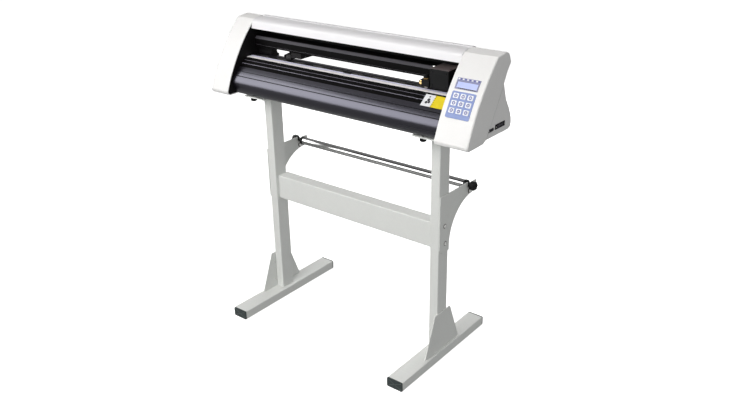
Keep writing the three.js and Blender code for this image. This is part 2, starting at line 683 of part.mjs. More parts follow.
function drives() {
  // Carriage motor: upright behind the rail's line, its pulley level with the carriage
  const motor = { half: 19.5, height: 40, top: 868, boss: 11, bossHeight: 2 };
  const motorBody = box(PULLEY.x - motor.half, PULLEY.x + motor.half,
    PULLEY.y - motor.half, PULLEY.y + motor.half, motor.top - motor.height, motor.top);
  const bossTop = motor.top + motor.bossHeight;
  const boss = turnedZ([[motor.boss, motor.top - 1], [motor.boss, bossTop]], PULLEY.x, PULLEY.y);
  part('carriage_motor', join(motorBody, boss), darkPlastic);
  const base = bossTop + GAP;
  const rim = 1.5;
  const belt = 8;
  for (const [name, x] of [['motor_pulley', PULLEY.x], ['idler_pulley', PULLEY.idlerX]]) {
    part(name, turnedZ([
      [PULLEY.radius + rim, base], [PULLEY.radius + rim, base + rim], [PULLEY.radius, base + rim],
      [PULLEY.radius, base + rim + belt], [PULLEY.radius + rim, base + rim + belt],
      [PULLEY.radius + rim, base + 2 * rim + belt]], x, PULLEY.y), steel);
  }

  // Feed motor: in front of the grit roller's gear, turning it through a pinion
  const backlash = 0.25;
  const reach = GEAR.module * (GEAR.teeth + GEAR.pinionTeeth) / 2 + backlash;
  const angle = THREE.MathUtils.degToRad(235);
  const [y, z] = [GRIT.y + reach * Math.cos(angle), GRIT_Z + reach * Math.sin(angle)];
  const face = GEAR.x + GEAR.width + 4;
  const feed = { half: 21, length: 40 };
  part('feed_motor', box(face, face + feed.length, y - feed.half, y + feed.half,
    z - feed.half, z + feed.half), darkPlastic);
  // A tooth gap of the gear lies at the line of centres, so the pinion shows it a tooth
  const toothCentre = 0.55;
  const gearPitch = 2 * Math.PI / GEAR.teeth;
  const pinionPitch = 2 * Math.PI / GEAR.pinionTeeth;
  const turns = angle / gearPitch - toothCentre;
  const lead = (turns - Math.floor(turns)) * gearPitch;
  const phase = angle + Math.PI - (toothCentre - 0.5) * pinionPitch
    - lead * GEAR.teeth / GEAR.pinionTeeth;
  const pinion = gear(GEAR.pinionTeeth, GEAR.x + 0.5, face - GAP, phase).translate(0, y, z);
  part('feed_pinion', pinion, brass);
}

function electronics() {
  const back = RIGHT_END - 24;
  const thickness = 1.6;
  const board = box(back, back + thickness, -31, 62, 745, 782);
  const fit = 0.6; // clearance of a socket in its window in the housing
  const sockets = PORTS.map(({ y, z, width, height }) => box(
    back + thickness / 2, RIGHT_END - COVER_WALL, y - width / 2 + fit, y + width / 2 - fit,
    z - height / 2 + fit, z + height / 2 - fit));
  part('main_board', join(board, ...sockets), circuitBoard);

  const { z, face, depth: moduleDepth } = INLET;
  const body = box(INLET.x0, INLET.x1, face - moduleDepth, face,
    z - INLET.height / 2, z + INLET.height / 2);
  const wells = [SOCKET, ROCKER].map(({ x, width, height, depth }) => box(
    x - width / 2 - GAP, x + width / 2 + GAP, face - depth - 2, face + 1,
    z - height / 2 - 1, z + height / 2 + 1));
  part('power_socket', cut(body, ...wells), darkPlastic);

  // The rocker's two halves slope to a low ridge over its pivot
  const { x, width, height, depth, travel } = ROCKER;
  const rocker = outline([
    [-depth, -height / 2 + 2], [0, -height / 2], [travel, -height / 2 + 0.6], [0.2, 0],
    [travel, height / 2 - 0.6], [0, height / 2], [-depth, height / 2 - 2]]);
  part('power_switch', alongX(rocker, x - width / 2, x + width / 2).translate(0, face, z), rubber);
}

feet();
posts();
mediaRoller();
headMounting();
bed();
gritRoller();
rail();
carriage();
tool();
pinchRollers();
housings();
topCover();
controlPanel();
drives();
electronics();

export default machine;
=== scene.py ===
import json
import math

import bmesh
import bpy
from mathutils import Matrix, Vector

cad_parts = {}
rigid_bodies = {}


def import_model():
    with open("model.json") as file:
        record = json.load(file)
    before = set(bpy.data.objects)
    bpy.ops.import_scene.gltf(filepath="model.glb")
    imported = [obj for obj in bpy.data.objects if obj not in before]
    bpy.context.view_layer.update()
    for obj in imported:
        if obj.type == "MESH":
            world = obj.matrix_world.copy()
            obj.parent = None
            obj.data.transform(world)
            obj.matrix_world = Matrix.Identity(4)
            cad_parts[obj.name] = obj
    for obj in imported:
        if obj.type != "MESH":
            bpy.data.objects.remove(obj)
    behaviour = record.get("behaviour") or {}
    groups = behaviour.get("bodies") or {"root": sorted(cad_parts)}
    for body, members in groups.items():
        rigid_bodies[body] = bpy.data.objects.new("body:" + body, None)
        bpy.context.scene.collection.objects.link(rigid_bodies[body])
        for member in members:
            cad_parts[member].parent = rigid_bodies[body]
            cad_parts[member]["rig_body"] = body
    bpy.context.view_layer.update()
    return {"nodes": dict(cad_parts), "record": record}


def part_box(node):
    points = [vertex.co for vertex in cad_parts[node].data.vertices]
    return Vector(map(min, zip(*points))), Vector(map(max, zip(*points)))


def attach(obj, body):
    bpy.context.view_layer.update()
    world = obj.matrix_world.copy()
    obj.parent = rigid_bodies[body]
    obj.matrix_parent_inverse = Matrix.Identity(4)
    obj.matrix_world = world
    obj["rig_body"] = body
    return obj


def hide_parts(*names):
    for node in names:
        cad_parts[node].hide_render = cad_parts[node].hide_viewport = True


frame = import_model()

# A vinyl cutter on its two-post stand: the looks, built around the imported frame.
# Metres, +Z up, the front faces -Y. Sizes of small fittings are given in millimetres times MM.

MM = 0.001
SIDES = (("left", -1), ("right", 1))
ENDS = (("front", -1), ("rear", 1))
SLOT_OF = {part["node"]: part["material_slot"] for part in frame["record"]["subparts"]}


def corner(node, x, y, z):
    """A point of a node's box: each of x, y and z runs from 0, the low side, to 1, the high side."""
    low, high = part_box(node)
    return Vector(a + (b - a) * share for a, b, share in zip(low, high, (x, y, z)))


# ---------------------------------------------------------------- materials


class Shader:
    """One material's node tree. What is fed to a socket is a number, a colour or another socket."""

    def __init__(self, name):
        self.material = bpy.data.materials.new(name)
        self.material.use_nodes = True
        self.tree = self.material.node_tree
        self.surface = self.tree.nodes["Principled BSDF"]
        self.here = self.node("ShaderNodeTexCoord").outputs["Object"]

    def node(self, kind, **settings):
        made = self.tree.nodes.new(kind)
        for key, value in settings.items():
            setattr(made, key, value)
        return made

    def feed(self, socket, value):
        if isinstance(value, bpy.types.NodeSocket):
            self.tree.links.new(value, socket)
        elif socket.type == "RGBA":
            socket.default_value = (*value, 1.0)
        else:
            socket.default_value = value

    def set(self, **inputs):
        """Feeds the Principled surface; an underscore in a name stands for a space."""
        for name, value in inputs.items():
            self.feed(self.surface.inputs[name.replace("_", " ")], value)

    def noise(self, size, stretch=(1, 1, 1), detail=3.0):
        """Noise from 0 to 1 in blots of about `size` metres, finer along an axis by its stretch."""
        mapping = self.node("ShaderNodeMapping")
        self.feed(mapping.inputs["Vector"], self.here)
        mapping.inputs["Scale"].default_value = [1 / (size * s) for s in stretch]
        texture = self.node("ShaderNodeTexNoise")
        self.feed(texture.inputs["Vector"], mapping.outputs["Vector"])
        texture.inputs["Scale"].default_value = 1.0
        texture.inputs["Detail"].default_value = detail
        return texture.outputs["Fac"]

    def maths(self, operation, a, b=0.0):
        made = self.node("ShaderNodeMath", operation=operation)
        self.feed(made.inputs[0], a)
        self.feed(made.inputs[1], b)
        return made.outputs[0]

    def remap(self, value, from_low, from_high, to_low, to_high):
        made = self.node("ShaderNodeMapRange")
        for socket, number in zip(made.inputs, (value, from_low, from_high, to_low, to_high)):
            self.feed(socket, number)
        return made.outputs[0]

    def blend(self, share, a, b):
        """The colour a where share is 0 and b where it is 1."""
        made = self.node("ShaderNodeMix", data_type="RGBA")
        self.feed(made.inputs["Factor"], share)
        self.feed(made.inputs[6], a)
        self.feed(made.inputs[7], b)
        return made.outputs[2]

    def bump(self, height, depth):
        made = self.node("ShaderNodeBump")
        made.inputs["Strength"].default_value = 1.0
        made.inputs["Distance"].default_value = depth
        self.feed(made.inputs["Height"], height)
        return made.outputs["Normal"]

    def edge(self, radius):
        """1 on sharp edges and 0 on open faces, with edges as wide as `radius`."""
        bevel = self.node("ShaderNodeBevel", samples=4)
        bevel.inputs["Radius"].default_value = radius
        flat = self.node("ShaderNodeNewGeometry").outputs["Normal"]
        likeness = self.node("ShaderNodeVectorMath", operation="DOT_PRODUCT")
        self.feed(likeness.inputs[0], bevel.outputs[0])
        self.feed(likeness.inputs[1], flat)
        return self.remap(likeness.outputs["Value"], 0.995, 0.86, 0.0, 1.0)


def shade(colour, factor):
    return tuple(min(1.0, channel * factor) for channel in colour)


def coating(name, colour, roughness, metallic=0.0, mottle=0.05, grain=0.5, depth=0.02,
            stretch=(1, 1, 1), worn=None, wear=1.0, coat=0.0, specular=0.5):
    """A surface finish: blots of lighter and darker colour, uneven gloss, a fine grain, and an edge
    colour where it is worn. `stretch` draws the grain out, as brushing or extruding does. The grain's
    size and depth and the width of the wear are in millimetres."""
    look = Shader(name)
    blots = look.noise(90 * MM, detail=4)
    specks = look.noise(7 * MM, stretch, detail=3)
    cloud = look.maths("ADD", look.maths("MULTIPLY", blots, 0.6), look.maths("MULTIPLY", specks, 0.4))
    share = look.remap(cloud, 0.35, 0.65, 0.0, 1.0)
    body = look.blend(share, shade(colour, 1 - mottle), shade(colour, 1 + mottle))
    gloss = look.remap(look.noise(25 * MM, stretch), 0.3, 0.7, roughness * 0.86, roughness * 1.14)
    if worn is not None:
        patchy = look.remap(look.noise(12 * MM), 0.38, 0.62, 0.15, 1.0)
        edge = look.maths("MULTIPLY", look.edge(wear * MM), patchy)
        body = look.blend(edge, body, worn)
    fine = look.noise(grain * MM, stretch, detail=2)
    look.set(Base_Color=body, Roughness=gloss, Metallic=metallic, Coat_Weight=coat,
             Normal=look.bump(fine, depth * MM), Specular_IOR_Level=specular)
    return look


def finish(*settings, **more):
    """A coating with nothing more to set."""
    return coating(*settings, **more).material


def black_anodised():
    look = coating("black_anodised", (0.004, 0.0036, 0.005), 0.3, mottle=0.15, depth=0.004,
                   stretch=(60, 1, 1), specular=1.0)
    look.set(Specular_Tint=(0.84, 0.83, 1.0))
    return look.material


def grit_steel():
    """The feed roller: blackened steel with rough bands where it grips the media."""
    look = Shader("grit_steel")
    across = look.node("ShaderNodeSeparateXYZ")
    look.feed(across.inputs[0], look.here)
    wave = look.maths("SINE", look.maths("MULTIPLY", across.outputs["X"], 2 * math.pi / (75 * MM)))
    band = look.remap(wave, -0.1, 0.1, 0.0, 1.0)
    grit = look.noise(0.5 * MM, detail=1)
    spots = look.remap(look.noise(4 * MM), 0.35, 0.65, 0.0, 1.0)
    smooth = look.blend(spots, (0.05, 0.05, 0.052), (0.075, 0.075, 0.078))
    rough = look.blend(spots, (0.09, 0.088, 0.085), (0.13, 0.127, 0.122))
    look.set(Base_Color=look.blend(band, smooth, rough), Metallic=0.9,
             Roughness=look.remap(band, 0, 1, 0.3, 0.62),
             Normal=look.bump(look.maths("MULTIPLY", grit, band), 0.12 * MM))
    return look.material


def strip_plastic_painted_glow():
    """The cutting strip: pale plastic in two tints, with the fine lines that blades leave and a faint
    painted glow that brightens it.
    """
    look = coating("cutting_strip", (0.93, 0.90, 0.91), 0.4, mottle=0.04, grain=0.8,
                   stretch=(30, 1, 1))
    low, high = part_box("cutting_strip")
    across = look.node("ShaderNodeSeparateXYZ")
    look.feed(across.inputs[0], look.here)
    middle = (low.y + high.y) / 2
    rear = look.remap(across.outputs["Y"], middle, middle + 1 * MM, 0.0, 1.0)
    body = look.surface.inputs["Base Color"].links[0].from_socket
    body = look.blend(rear, body, (0.80, 0.79, 0.97))
    cuts = look.noise(0.9 * MM, (120, 1, 1), detail=2)
    line = look.remap(cuts, 0.66, 0.72, 0.0, 0.35)
    body = look.blend(line, body, (0.42, 0.42, 0.5))
    # A painted glow: the strip gives off a little of its own colour as light, to look brighter
    look.set(Base_Color=body, Emission_Color=body, Emission_Strength=0.12)
    return look.material


def ink(name, colour):
    return finish(name, colour, 0.45, mottle=0.06, grain=0.4, depth=0.004)


def screen():
    """A blank character display: a pale blue field with faint rows of cells under clear glass."""
    look = Shader("display_glass")
    cells = look.node("ShaderNodeTexBrick", offset=0.0)
    look.feed(cells.inputs["Vector"], look.here)
    for name, value in (("Scale", 1.0), ("Mortar Size", 0.25 * MM), ("Brick Width", 3.2 * MM),
                        ("Row Height", 5.0 * MM), ("Mortar Smooth", 0.4)):
        cells.inputs[name].default_value = value
    field = look.remap(look.noise(30 * MM), 0.3, 0.7, 0.0, 1.0)
    body = look.blend(field, (0.44, 0.50, 0.83), (0.52, 0.58, 0.90))
    look.set(Base_Color=look.blend(look.maths("MULTIPLY", cells.outputs["Fac"], 0.25), body,
                                   (0.60, 0.66, 0.95)),
             Roughness=0.12, Coat_Weight=0.6, Emission_Color=body, Emission_Strength=0.22)
    return look.material


def circuit_board():
    look = coating("circuit_board", (0.02, 0.11, 0.05), 0.4, mottle=0.15, grain=0.8, depth=0.03)
    tracks = look.remap(look.noise(3 * MM, (1, 1, 6), detail=0), 0.54, 0.57, 0.0, 1.0)
    body = look.surface.inputs["Base Color"].links[0].from_socket
    look.set(Base_Color=look.blend(tracks, body, (0.04, 0.20, 0.08)))
    return look.material


def floor_white():
    """A white sweep: it lights itself a little, so that it stays paper white."""
    look = Shader("white_sweep")
    body = look.remap(look.noise(0.8), 0.3, 0.7, 0.80, 0.83)
    look.set(Base_Color=look.blend(body, (0, 0, 0), (1, 1, 1)), Roughness=0.9,
             Emission_Color=(1, 1, 1), Emission_Strength=0.8)
    return look.material


LOOKS = {
    "grey_paint": finish("grey_powder_coat", (0.79, 0.803, 0.782), 0.52, mottle=0.02, grain=1.4,
                         depth=0.06, worn=(0.86, 0.86, 0.85), wear=1.2),
    "cap_plastic": finish("cap_moulding", (0.045, 0.058, 0.058), 0.55, mottle=0.15, grain=0.7,
                          depth=0.05, worn=(0.12, 0.14, 0.14), wear=0.8),
    "black_paint": finish("satin_black_paint", (0.009, 0.0085, 0.009), 0.5, mottle=0.2, grain=0.8,
                          worn=(0.045, 0.043, 0.046), wear=0.6, specular=0.14),
    "black_anodised": black_anodised(),
    "white_plastic": finish("white_moulding", (0.84, 0.836, 0.83), 0.42, mottle=0.012,
                            worn=(0.9, 0.9, 0.9), wear=0.8, specular=0.32),
    "white_paint": finish("white_coated_aluminium", (0.80, 0.795, 0.815), 0.36, mottle=0.012,
                          grain=0.6, depth=0.008, stretch=(40, 1, 1), coat=0.1, specular=0.35),
    "dark_plastic": finish("black_moulding", (0.007, 0.0073, 0.008), 0.5, mottle=0.15, depth=0.03,
                           worn=(0.04, 0.04, 0.04), wear=0.6, specular=0.16),
    "chrome": finish("chromed_tube", (0.46, 0.46, 0.46), 0.13, metallic=1.0, mottle=0.05,
                     depth=0.002, stretch=(1, 8, 8)),
    "steel": finish("zinc_plated_steel", (0.6, 0.6, 0.6), 0.34, metallic=1.0, mottle=0.12,
                    grain=0.4, depth=0.006),
    "brass": finish("turned_brass", (0.80, 0.52, 0.20), 0.24, metallic=1.0, mottle=0.12, grain=0.35,
                    depth=0.01, worn=(0.95, 0.8, 0.5), wear=0.4),
    "rubber": finish("black_rubber", (0.02, 0.02, 0.02), 0.78, mottle=0.2, grain=0.4, depth=0.05),
    "strip": strip_plastic_painted_glow(),
    "blue_panel": finish("blue_membrane", (0.145, 0.215, 0.49), 0.38, mottle=0.04, coat=0.2),
    "key_white": finish("white_key", (0.82, 0.83, 0.88), 0.4, mottle=0.015, depth=0.015),
    "circuit_board": circuit_board(),
}
GRIT = grit_steel()
# A duller black for the rail and for the flat of the bed above its nose
APRON = finish("dull_anodised", (0.003, 0.0028, 0.003), 0.5, mottle=0.25, depth=0.004,
               stretch=(60, 1, 1), specular=0.05)
# The flanks of the bed's grooves on the flat, painted lighter: a painted highlight where they catch
# the light
GROOVE_PAINTED_HIGHLIGHT = finish("thin_anodised", (0.30, 0.29, 0.35), 0.4, metallic=0.2, mottle=0.2, depth=0.01,
              stretch=(60, 1, 1))
# The rail's front chamfer: a lighter black that paints the highlight along it
RAIL_CHAMFER_HIGHLIGHT = finish("rail_edge", (0.055, 0.052, 0.062), 0.5, mottle=0.15, depth=0.01,
                   stretch=(60, 1, 1))
# The carriage's lid: a lighter brownish black than the carriage, painted light on its top, with worn
# edges
LID_PAINTED_LIGHT = finish("carriage_lid", (0.13, 0.104, 0.104), 0.5, mottle=0.15,
                      worn=(0.2, 0.17, 0.17), wear=0.7)
BEZEL = finish("display_bezel", (0.24, 0.25, 0.42), 0.4, mottle=0.05)
SCREEN = screen()
STOP_RING = finish("stop_ring", (0.07, 0.055, 0.045), 0.45, mottle=0.2, depth=0.03)
ZINC = finish("bright_zinc", (0.86, 0.86, 0.85), 0.3, metallic=0.35, mottle=0.05, grain=0.4,
              depth=0.01)
# The X on the foot caps' faces: lighter ribs that paint the highlight on the ridges of the face
CAP_X_HIGHLIGHT = ink("cap_edge", (0.11, 0.135, 0.13))
BLUE_INK = ink("blue_ink", (0.06, 0.07, 0.28))
BLACK_INK = ink("black_ink", (0.012, 0.012, 0.016))
WHITE_LABEL = ink("white_label", (0.82, 0.83, 0.85))
YELLOW_LABEL = ink("yellow_label", (0.85, 0.66, 0.0))


# ---------------------------------------------------------------- shapes


def cad_shape(node):
    """The node's own solid, with its triangles merged into flat faces."""
    work = bmesh.new()
    work.from_mesh(frame["nodes"][node].data)
    bmesh.ops.remove_doubles(work, verts=work.verts, dist=0.001 * MM)
    bmesh.ops.dissolve_limit(work, angle_limit=math.radians(0.5), verts=work.verts, edges=work.edges)
    work.normal_update()
    return work


def soften(work, radius, segments=2, along=None, turn=(25, 181), longer=0.0):
    """Rounds the edges whose faces turn by an angle within `turn`, in degrees. `along` keeps only the
    edges that run along that axis, and `longer` only those of at least that length."""
    low, high = map(math.radians, turn)
    axis = None if along is None else Vector(("XYZ".index(along) == i for i in range(3)))
    chosen = []
    for edge in work.edges:
        if not edge.is_manifold or not low <= edge.calc_face_angle(0.0) < high:
            continue
        run = edge.verts[1].co - edge.verts[0].co
        if run.length < longer or (axis is not None and abs(run.normalized().dot(axis)) < 0.999):
            continue
        chosen.append(edge)
    bmesh.ops.bevel(work, geom=chosen, offset=radius, segments=segments, profile=0.5,
                    affect="EDGES", clamp_overlap=True)
    work.normal_update()
    return work


def round_outline(centre, count, reach):
    """A closed outline round a centre; `reach` gives the distance of each of its points."""
    turns = [2 * math.pi * i / count for i in range(count)]
    return [(centre[0] + reach(i) * math.cos(angle), centre[1] + reach(i) * math.sin(angle))
            for i, angle in enumerate(turns)]


def block(low, high, radius=0.5 * MM, segments=2):
    """A box between two corners with its edges rounded."""
    work = bmesh.new()
    bmesh.ops.create_cube(work, size=1.0)
    low, high = Vector(low), Vector(high)
    for vertex in work.verts:
        vertex.co = Vector(l + (h - l) * (c + 0.5) for l, h, c in zip(low, high, vertex.co))
    work.normal_update()
    return soften(work, radius, segments)


def prism(outline, axis, low, high):
    """A flat outline pushed along an axis; its points are the other two coordinates, in order."""
    work = bmesh.new()
    spread = {"X": lambda a, b, c: (c, a, b), "Y": lambda a, b, c: (a, c, b),
              "Z": lambda a, b, c: (a, b, c)}[axis]
    rings = [[work.verts.new(spread(a, b, c)) for a, b in outline] for c in (low, high)]
    count = len(outline)
    for i in range(count):
        j = (i + 1) % count
        work.faces.new((rings[0][i], rings[0][j], rings[1][j], rings[1][i]))
    work.faces.new(rings[0][::-1])
    work.faces.new(rings[1])
    bmesh.ops.recalc_face_normals(work, faces=work.faces)
    work.normal_update()
    return work


def turned(steps, centre, axis, sides=40, bore=False):
    """A body of revolution: each step is (radius, distance along the axis from the centre). It is
    closed by end faces, or into a ring if it has a bore."""
    work = bmesh.new()
    turn = Vector(axis).to_track_quat("Z", "Y").to_matrix().to_4x4()
    spread = Matrix.Translation(Vector(centre)) @ turn
    rings = [[work.verts.new(spread @ Vector((x, y, distance)))
              for x, y in round_outline((0, 0), sides, lambda _: radius)]
             for radius, distance in steps]
    pairs = list(zip(rings, rings[1:] + rings[:1] if bore else rings[1:]))
    for lower, upper in pairs:
        for i in range(sides):
            j = (i + 1) % sides
            work.faces.new((lower[i], lower[j], upper[j], upper[i]))
    if not bore:
        work.faces.new(rings[0][::-1])
        work.faces.new(rings[-1])
    bmesh.ops.recalc_face_normals(work, faces=work.faces)
    work.normal_update()
    return work


def joined(*shapes):
    """Several closed shapes in one mesh."""
    work = bmesh.new()
    for shape in shapes:
        mesh = bpy.data.meshes.new("part_of_one")
        shape.to_mesh(mesh)
        shape.free()
        work.from_mesh(mesh)
        bpy.data.meshes.remove(mesh)
    return work


def place(name, data):
    thing = bpy.data.objects.new(name, data)
    bpy.context.scene.collection.objects.link(thing)
    return thing


def make(name, work, body, slot, look=None, replaced=None, smooth=38):
    """Turns a shape into a piece that rides on a body, in its slot's finish or its own looks."""
    mesh = bpy.data.meshes.new(name)
    work.to_mesh(mesh)
    work.free()
    look = look or LOOKS[slot]
    for each in look if isinstance(look, list) else [look]:
        mesh.materials.append(each)
    mesh.shade_smooth()
    mesh.set_sharp_from_angle(angle=math.radians(smooth))
    piece = place(name, mesh)
    even = piece.modifiers.new("even_shading", "WEIGHTED_NORMAL")
    even.keep_sharp = True
    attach(piece, body)
    if replaced is not None:
        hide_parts(replaced)


def stand_for(node, work, look=None, smooth=38):
    """A detailed piece in place of a CAD node, on the same body and in its slot's finish unless it has
    looks of its own.
    """
    body = frame["nodes"][node]["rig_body"]
    make(f"{node}_shape", work, body, SLOT_OF[node], look, node, smooth)


def rounded(node, *rounds, look=None, smooth=38):
    """The node's own shape with its edges rounded; each round holds the settings of one soften."""
    work = cad_shape(node)
    for settings in rounds:
        soften(work, **settings)
    stand_for(node, work, look, smooth)


def crisp(radius, segments=2):
    """A small rounding, in millimetres, of the edges that turn by 60 degrees or more."""
    return dict(radius=radius * MM, segments=segments, turn=(60, 181))


def bolt(name, seat, axis, radius, height, body="frame", slot="steel", look=None):
    """A button-head screw with a hexagon socket, seated on a face."""
    socket = radius * 0.45
    work = turned([(radius, -0.2 * MM), (radius, 0.35 * height), (0.86 * radius, 0.75 * height),
                   (socket * 1.25, height), (socket, height), (socket * 0.9, 0.45 * height)],
                  seat, axis, sides=24)
    make(name, work, body, slot, look)


def washer(name, seat, axis, radius):
    """A thin dark ring under a bolt's head."""
    thick = 0.7 * MM
    inner = radius * 0.6
    work = turned([(inner, 0), (radius, 0), (radius, thick), (inner, thick)], seat, axis, sides=32,
                  bore=True)
    make(name, work, "frame", "steel", STOP_RING)


# ---------------------------------------------------------------- stand


def stand():
    rim = dict(radius=0.7 * MM, turn=(50, 181))
    tube = 3 * MM
    for side, sign in SIDES:
        rounded(f"{side}_foot", dict(radius=tube, segments=3, along="Y", longer=0.4), rim)
        rounded(f"{side}_post", dict(radius=tube, segments=3, along="Z", longer=0.4))
        rounded(f"{side}_roll_bracket", rim)
        rounded(f"{side}_top_plate", rim)
        for end, way in ENDS:
            foot_cap(f"{side}_{end}_foot_cap", way)
            thumb_screw(f"{side}_{end}_thumb_screw")
        stand_bolts(side, sign)
    rounded("cross_beam", dict(radius=tube, segments=3, along="X", longer=0.4))


def foot_cap(node, way):
    """A moulded plug with round corners and a dished outer face that rises to its middle."""
    work = cad_shape(node)
    soften(work, 3.5 * MM, 3, along="Y")
    outer = max(work.faces, key=lambda face: face.calc_center_median().y * way + face.calc_area())
    bmesh.ops.inset_region(work, faces=[outer], thickness=3.5 * MM, depth=0.0)
    bmesh.ops.inset_region(work, faces=[outer], thickness=1.0 * MM, depth=-1.2 * MM)
    middle = bmesh.ops.poke(work, faces=[outer])["verts"][0]
    middle.co.y += way * 0.9 * MM
    soften(work, 0.5 * MM, 2, turn=(60, 181))
    stand_for(node, work)
    low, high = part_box(node)
    face = (high if way > 0 else low).y - way * 0.35 * MM
    middle = (low + high) / 2
    reach = Vector(((high.x - low.x) / 2 - 4.6 * MM, 0, (high.z - low.z) / 2 - 4.6 * MM))
    # Two lighter ribs in an X: a painted highlight where the face's ridges would catch the light
    for i, lean in enumerate((-1, 1)):
        end = Vector((reach.x * lean, 0, reach.z))
        side = Vector((0.5 * MM, 0, -0.5 * MM * lean))
        spots = [middle - end - side, middle - end + side, middle + end + side, middle + end - side]
        rib = prism([(p.x, p.z) for p in spots], "Y", *sorted((face, face - way * 1.0 * MM)))
        make(f"{node}_rib_{i + 1}", rib, "frame", "cap_plastic", CAP_X_HIGHLIGHT)


def thumb_screw(node):
    """A knurled plastic knob under the top plate with its steel stud."""
    low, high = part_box(node)
    middle = (low + high) / 2
    radius = (high.x - low.x) / 2
    knob, ribs, rib_depth = 9.3 * MM, 18, 0.9 * MM
    outline = round_outline(middle, ribs * 4, lambda i: radius if i % 4 < 2 else radius - rib_depth)
    head = soften(prism(outline, "Z", low.z + 1.2 * MM, low.z + knob - 1.5 * MM), 0.3 * MM, 1)
    foot = (middle.x, middle.y, low.z)
    face = turned([(radius * 0.8, 0), (radius * 0.88, 1.5 * MM)], foot, (0, 0, 1))
    collar = turned([(radius * 0.8, knob - 1.8 * MM), (radius * 0.8, knob)], foot, (0, 0, 1))
    stud = turned([(3 * MM, knob - 1 * MM), (3 * MM, high.z - low.z)], foot, (0, 0, 1), sides=20)
    stand_for(node, joined(head, face, collar, stud))


def stand_bolts(side, sign):
    bracket = corner(f"{side}_roll_bracket", sign > 0, 0, 0)
    for i, (y, z) in enumerate(((-3, 440), (0.5, 384))):
        seat = (bracket.x, y * MM, z * MM)
        bolt(f"{side}_bracket_bolt_{i + 1}", seat, (sign, 0, 0), 5.6 * MM, 4 * MM, look=ZINC)
        washer(f"{side}_bracket_washer_{i + 1}", seat, (sign, 0, 0), 7 * MM)
    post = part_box(f"{side}_post")[sign > 0]
    for i, z in enumerate((125, 60)):
        seat = (post.x + sign * 0.3 * MM, -34.5 * MM, z * MM)
        bolt(f"{side}_gusset_bolt_{i + 1}", seat, (-sign, 0, 0), 4.2 * MM, 3.4 * MM, look=ZINC)


# ---------------------------------------------------------------- media roller


def media_roller():
    low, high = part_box("media_roller")
    centre = (low + high) / 2
    radius, half = (high.z - low.z) / 2, (high.x - low.x) / 2
    wall, lip = 1.5 * MM, 0.4 * MM
    stand_for("media_roller", turned([
        (radius - wall, -half), (radius - lip, -half), (radius, -half + lip), (radius, half - lip),
        (radius - lip, half), (radius - wall, half)], centre, (1, 0, 0), sides=64, bore=True))
    for side, sign in SIDES:
        roller_hub(side, sign, centre)
        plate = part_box(f"{side}_roll_bracket")
        for face, way in (("outer", sign), ("inner", -sign)):
            seat = (plate[way > 0].x, 124 * MM, 506.5 * MM)
            ring = turned([(8.2 * MM, 0), (8.2 * MM, 1.6 * MM), (7.6 * MM, 2 * MM)], seat, (way, 0, 0))
            make(f"{side}_{face}_stop_washer", ring, "frame", "dark_plastic", STOP_RING)
            stud = turned([(6 * MM, 1.5 * MM), (6 * MM, 5 * MM), (5.2 * MM, 7 * MM),
                           (3.4 * MM, 8.4 * MM), (1.2 * MM, 8.9 * MM)], seat, (way, 0, 0))
            make(f"{side}_{face}_stop_stud", stud, "frame", "steel", ZINC)


def roller_hub(side, sign, centre):
    """A plug in the tube, a collar, the journal in the bracket's notch and a lobed knob outside it."""
    node = f"{side}_roller_hub"
    low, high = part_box(node)
    tip = (high.x if sign > 0 else low.x)
    root = (low.x if sign > 0 else high.x)
    plate_low, plate_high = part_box(f"{side}_roll_bracket")
    plate = plate_high.x if sign > 0 else plate_low.x
    inner = plate - sign * (plate_high.x - plate_low.x)
    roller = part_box("media_roller")[sign > 0].x

    def at(x):
        return abs(x - root)

    collar = at(roller) if sign < 0 else at(inner) - 12 * MM
    steps = [(10.7 * MM, 0), (10.7 * MM, collar + 0.3 * MM), (12.6 * MM, collar + 0.3 * MM),
             (13.6 * MM, collar + 1.3 * MM), (13.6 * MM, collar + 8 * MM),
             (12.6 * MM, collar + 9 * MM), (8 * MM, collar + 11 * MM), (6 * MM, at(inner) - 0.6 * MM),
             (6 * MM, at(plate) + 6 * MM)]
    if collar > at(roller):
        outer, core, ends = 12.5 * MM, 11 * MM, (at(roller) + 0.2 * MM, collar)
        sleeve = turned([(core, ends[0]), (outer, ends[0]), (outer, ends[1]), (core, ends[1])],
                        (root, centre.y, centre.z), (sign, 0, 0), sides=64, bore=True)
        make(f"{side}_roller_sleeve", sleeve, "roll", "chrome")
    foot = (root, centre.y, centre.z)
    shaft = turned(steps, foot, (sign, 0, 0), sides=48)
    points, lobes, length = 60, 6, at(tip) + 9 * MM
    outline = round_outline(centre.yz, points,
                            lambda i: (12.2 + 0.9 * math.cos(lobes * 2 * math.pi * i / points)) * MM)
    ends = sorted((plate + sign * 5 * MM, root + sign * (length - 1.5 * MM)))
    knob = soften(prism(outline, "X", *ends), 1.0 * MM, 3, turn=(60, 181))
    cap = turned([(5.5 * MM, length - 2 * MM), (5 * MM, length - 0.4 * MM), (4 * MM, length)],
                 foot, (sign, 0, 0))
    stand_for(node, joined(shaft, knob, cap))


# ---------------------------------------------------------------- bed


NOSE_RADIUS = 40 * MM
APRON_SLOPE = math.radians(36.3)  # how steeply the apron falls to the nose


def polyline_point(points, distance):
    """The point at that distance along a run of points, and the way it faces, to the left."""
    for (ax, ay), (bx, by) in zip(points, points[1:]):
        length = math.hypot(bx - ax, by - ay)
        if distance <= length:
            share = distance / length
            spot = (ax + (bx - ax) * share, ay + (by - ay) * share)
            return spot, ((ay - by) / length, (bx - ax) / length)
        distance -= length
    return points[-1], (0, 0)


